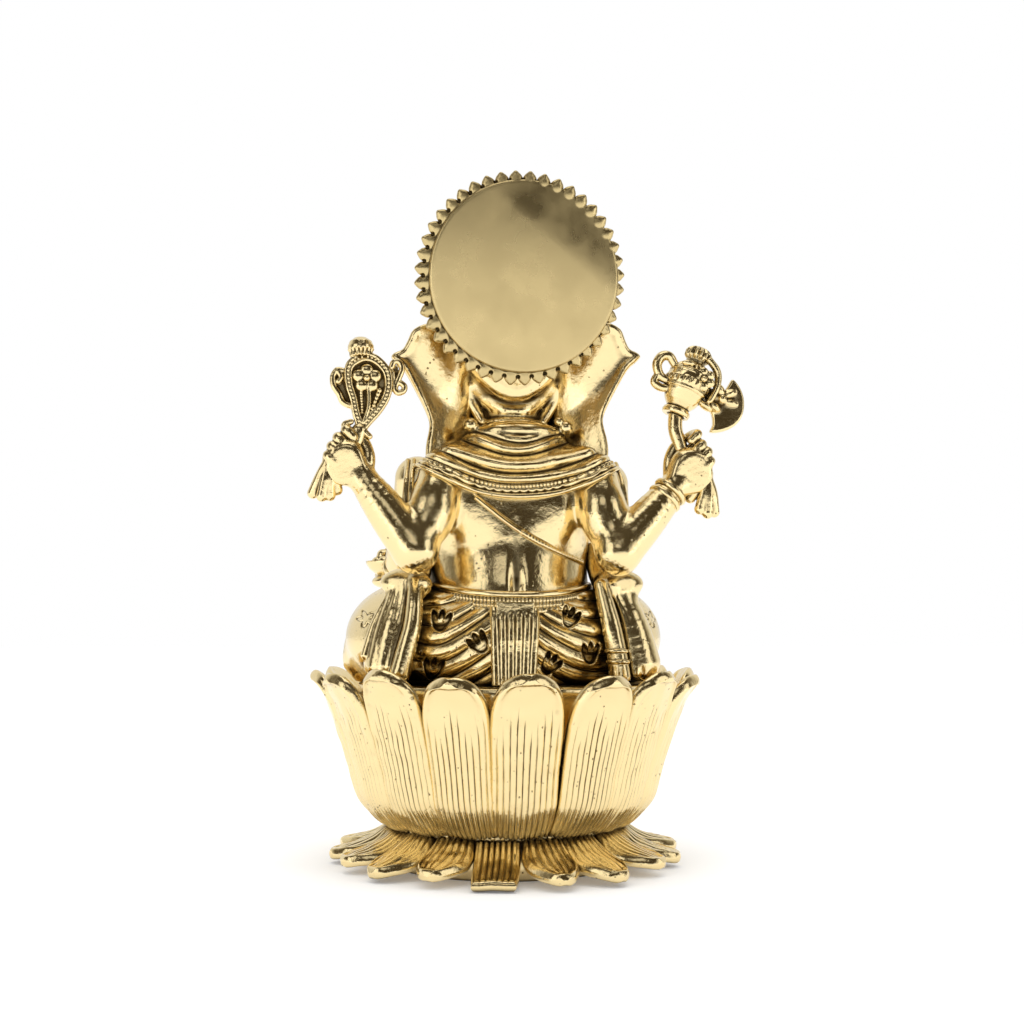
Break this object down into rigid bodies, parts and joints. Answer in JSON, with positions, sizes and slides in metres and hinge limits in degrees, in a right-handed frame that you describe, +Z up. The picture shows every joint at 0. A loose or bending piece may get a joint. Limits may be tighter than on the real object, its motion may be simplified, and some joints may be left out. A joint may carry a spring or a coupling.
{
  "type": "seated elephant-headed deity statuette",
  "caption": "Cast-brass seated deity with four arms, large ears and a round scalloped halo, on a double lotus base with ribbed petals.",
  "frame": {"origin": "centre of the lotus foot ring on the ground", "axes": "+Z up, the figure faces -Y, its own left side is +X"},
  "size_m": [0.1052, 0.096, 0.1646],
  "materials": {
    "cast_brass": "polished cast brass, bright pale gold on the high spots, dark patina and casting pits in the recesses",
    "polished_brass": "buffed sheet brass, soft mirror",
    "fastener_steel": "plain zinc-plated steel"
  },
  "bodies": {
    "root": {"lotus_skirt": "cast_brass", "lotus_cup": "cast_brass", "seat_plate": "cast_brass", "fixing_stud": "fastener_steel", "fixing_washer": "fastener_steel", "fixing_nut": "fastener_steel", "legs_dhoti": "cast_brass", "rear_pleats": "cast_brass", "left_sash": "cast_brass", "right_sash": "cast_brass", "torso": "cast_brass", "waist_belt": "cast_brass", "sacred_thread": "cast_brass", "shoulder_shawl": "cast_brass", "necklace": "cast_brass", "head": "cast_brass", "trunk": "cast_brass", "left_tusk": "cast_brass", "right_tusk": "cast_brass", "left_ear": "cast_brass", "right_ear": "cast_brass", "crown": "cast_brass", "crown_band": "cast_brass", "halo_plate": "polished_brass", "halo_rivet": "cast_brass", "left_rear_upper_arm": "cast_brass", "left_rear_forearm": "cast_brass", "right_rear_upper_arm": "cast_brass", "right_rear_forearm": "cast_brass", "left_rear_hand": "cast_brass", "right_rear_hand": "cast_brass", "noose_emblem": "cast_brass", "axe": "cast_brass", "left_tassel": "cast_brass", "right_tassel": "cast_brass", "left_front_upper_arm": "cast_brass", "left_front_forearm": "cast_brass", "right_front_upper_arm": "cast_brass", "right_front_forearm": "cast_brass", "left_front_hand": "cast_brass", "right_front_hand": "cast_brass", "sweets_bowl": "cast_brass", "sweets": "cast_brass", "bracelets": "cast_brass"}
  },
  "joints": []
}
